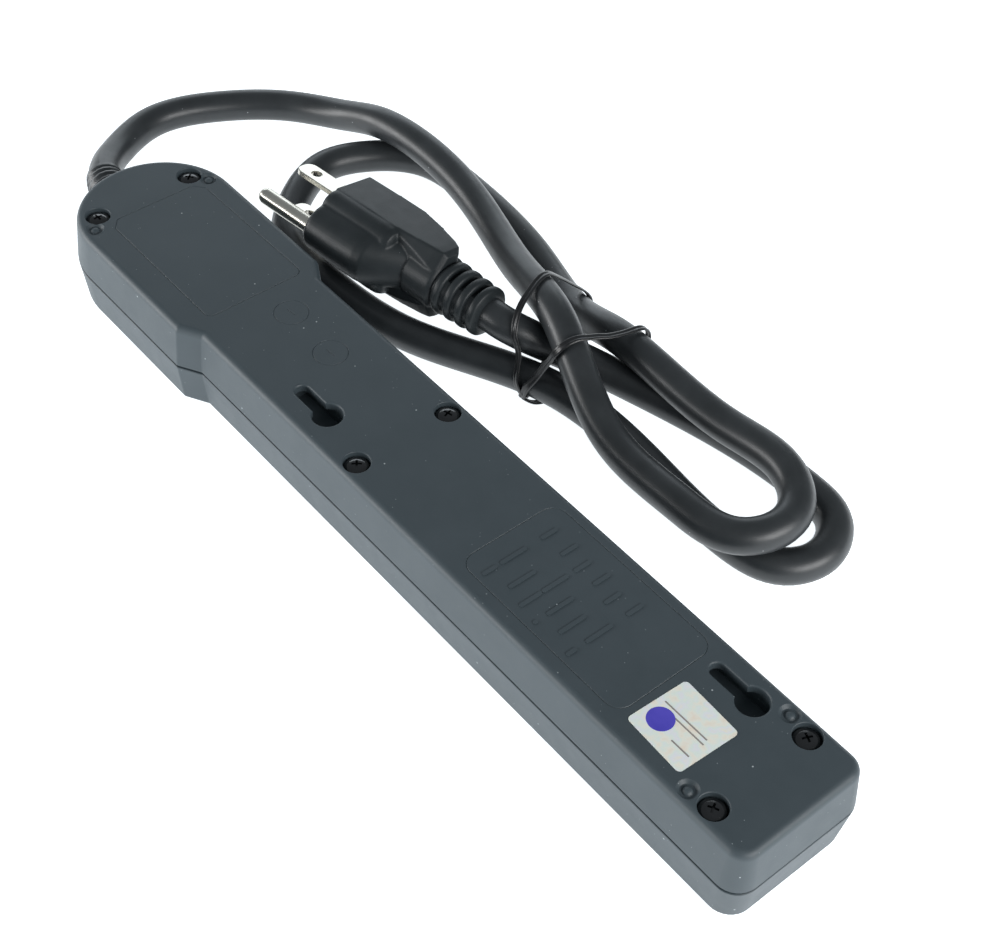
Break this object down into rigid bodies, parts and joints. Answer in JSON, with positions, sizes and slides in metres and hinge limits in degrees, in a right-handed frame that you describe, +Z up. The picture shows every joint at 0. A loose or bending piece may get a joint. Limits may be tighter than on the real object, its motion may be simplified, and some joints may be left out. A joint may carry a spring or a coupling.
{
  "type": "surge protector power strip",
  "caption": "Slim round-headed surge protector power strip lying on its outlet face, its short mains lead folded, tied with a wire tie and ending in a moulded grounded plug.",
  "frame": {"origin": "centre of the case's footprint, on the surface it lies on", "axes": "+X along the case from the cord end to the square tail, +Y across the case towards the bundled lead, +Z up, out of the back with the keyholes"},
  "size_m": [0.3069, 0.1174, 0.0301],
  "materials": {
    "case": "fine matte texture",
    "black": "satin",
    "cordm": "semi-gloss",
    "prong": "nickel plated",
    "steel": "dark plated",
    "brass": "stamped strip",
    "red": "translucent",
    "green": "translucent",
    "board": "phenolic board",
    "blue": "coated disc",
    "cream": "satin",
    "white": "satin",
    "greenw": "satin",
    "insul": "matte",
    "lampglass": "clear",
    "foil": "holographic foil"
  },
  "bodies": {
    "case": {"back_cover": "case", "front_cover": "case", "cover_screw_1": "steel", "cover_screw_2": "steel", "cover_screw_3": "steel", "cover_screw_4": "steel", "cover_screw_5": "steel", "cover_screw_6": "steel", "contact_carrier": "insul", "bus_bar_retainer": "insul", "hot_bus_bar": "brass", "neutral_bus_bar": "brass", "ground_bus_bar": "brass", "switch_housing": "black", "switch_terminal_line": "brass", "switch_terminal_load": "brass", "switch_terminal_lamp": "brass", "neon_lamp": "lampglass", "surge_board": "board", "varistor_line_neutral": "blue", "varistor_line_ground": "blue", "varistor_neutral_ground": "blue", "thermal_fuse": "cream", "lamp_resistor": "cream", "indicator_led": "green", "indicator_lens": "green", "line_wire": "black", "switched_wire": "black", "neutral_wire": "white", "ground_wire": "greenw", "lamp_wire": "white", "board_line_wire": "black", "board_neutral_wire": "white", "board_ground_wire": "greenw", "cord_strain_relief": "cordm", "cord_inner_end": "cordm", "power_cord": "cordm", "plug_body": "cordm", "plug_insert": "black", "plug_hot_blade": "prong", "plug_neutral_blade": "prong", "plug_ground_pin": "prong", "twist_tie": "black", "seal_sticker": "foil"},
    "rocker": {"switch_rocker": "red", "switch_plunger": "insul", "switch_spring": "steel"},
    "contact_arm": {"switch_contact_arm": "brass"}
  },
  "joints": [
    {"name": "rocker_tilt", "type": "hinge", "parent": "case", "child": "rocker", "pos_m": [-0.094, 0, 0.0054], "axis": [0, 1, 0], "range_deg": [0, 15]},
    {"name": "contact_arm_tilt", "type": "hinge", "parent": "case", "child": "contact_arm", "pos_m": [-0.094, 0, 0.0128], "axis": [0, 1, 0], "range_deg": [-12, 0]}
  ],
  "couplings": [
    {"joint": "contact_arm_tilt", "follows": "rocker_tilt", "ratio": -0.8}
  ]
}
